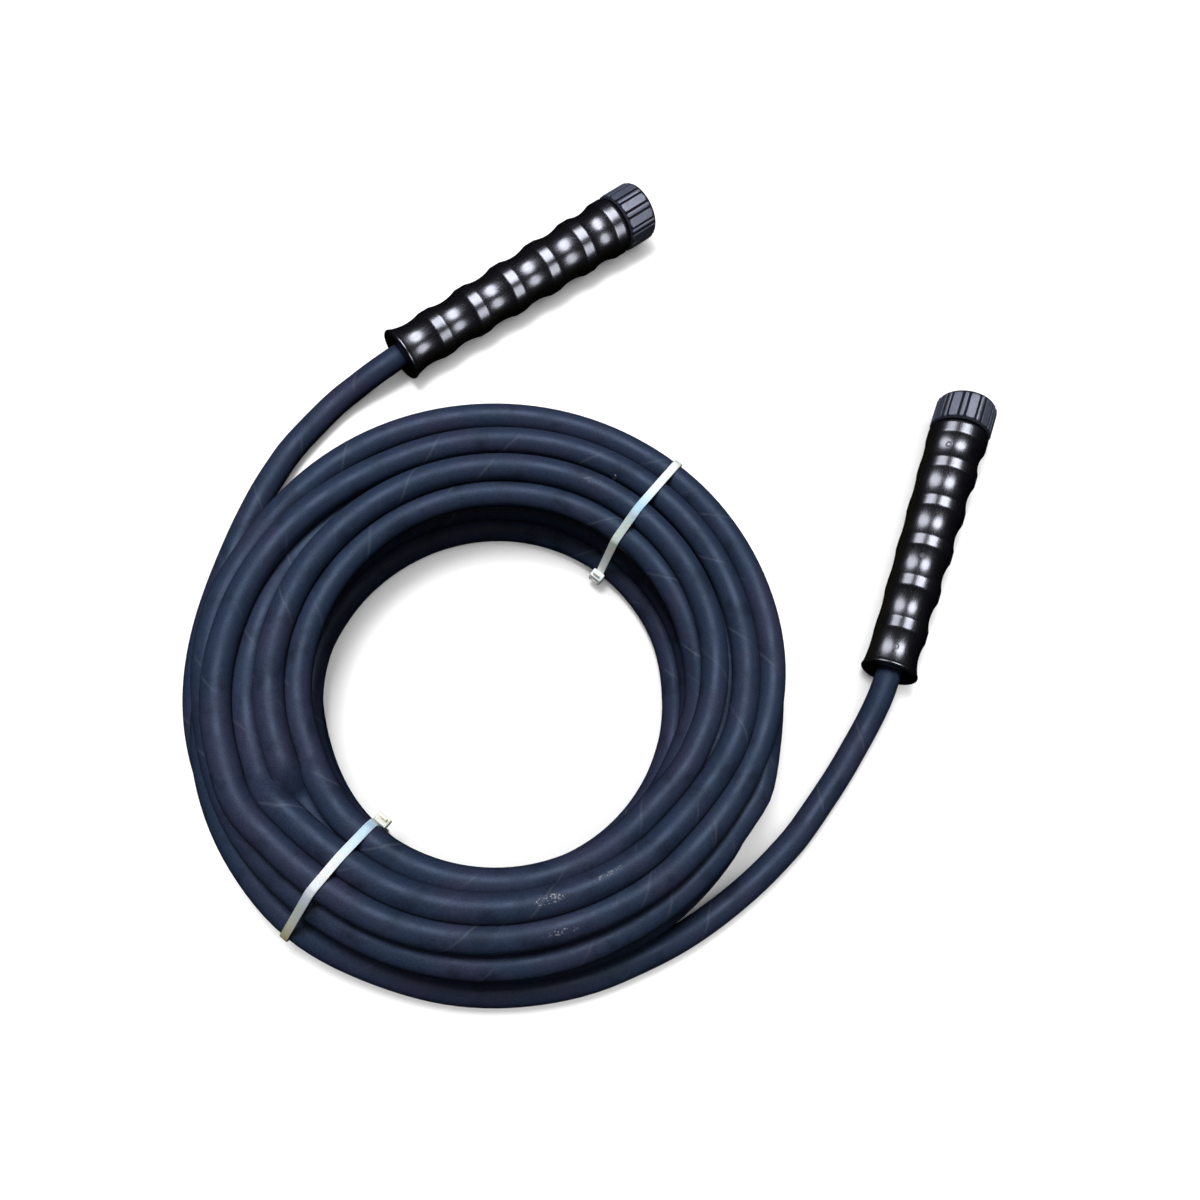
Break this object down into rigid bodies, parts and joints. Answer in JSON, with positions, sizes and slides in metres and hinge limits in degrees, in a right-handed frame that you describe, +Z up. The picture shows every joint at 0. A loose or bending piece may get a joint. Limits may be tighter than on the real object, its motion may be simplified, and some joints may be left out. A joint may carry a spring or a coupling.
{
  "type": "pressure washer hose",
  "caption": "High-pressure rubber hose wound into a round coil, held by cable ties, with a grip sleeve and swivel nut on each end.",
  "frame": {"origin": "middle of the footprint, at the floor that the coil and the grips lie on", "axes": "+Z up; grip A points to the upper right of the XY plane at 38 degrees from +X, grip B at 67.7 degrees"},
  "size_m": [0.4986, 0.5142, 0.0684],
  "materials": {
    "hose": "matte blue-black rubber with faint diagonal wrap marks and a few pale scuffs",
    "sleeve": "glossy black moulded",
    "nut": "satin dark grey moulded",
    "brass": "turned",
    "steel": "plated, crimped",
    "seal": "smooth black",
    "tie": "milky white nylon, slightly see-through"
  },
  "bodies": {
    "hose": {"hose_coil": "hose", "hose_tail_a": "hose", "hose_tail_b": "hose", "grip_sleeve_a": "sleeve", "grip_sleeve_b": "sleeve", "nipple_a": "brass", "nipple_b": "brass", "ferrule_a": "steel", "ferrule_b": "steel", "o_ring_a": "seal", "o_ring_b": "seal", "cable_tie_a": "tie", "cable_tie_b": "tie"},
    "nut_a": {"swivel_nut_a": "nut"},
    "nut_b": {"swivel_nut_b": "nut"}
  },
  "joints": [
    {"name": "nut_a_turn", "type": "hinge", "parent": "hose", "child": "nut_a", "pos_m": [0.01438, 0.24278, 0.01995], "axis": [0.7879, 0.6156, 0.0157], "continuous": true},
    {"name": "nut_b_turn", "type": "hinge", "parent": "hose", "child": "nut_b", "pos_m": [0.23205, 0.10314, 0.01995], "axis": [0.3794, 0.9251, 0.0157], "continuous": true}
  ]
}
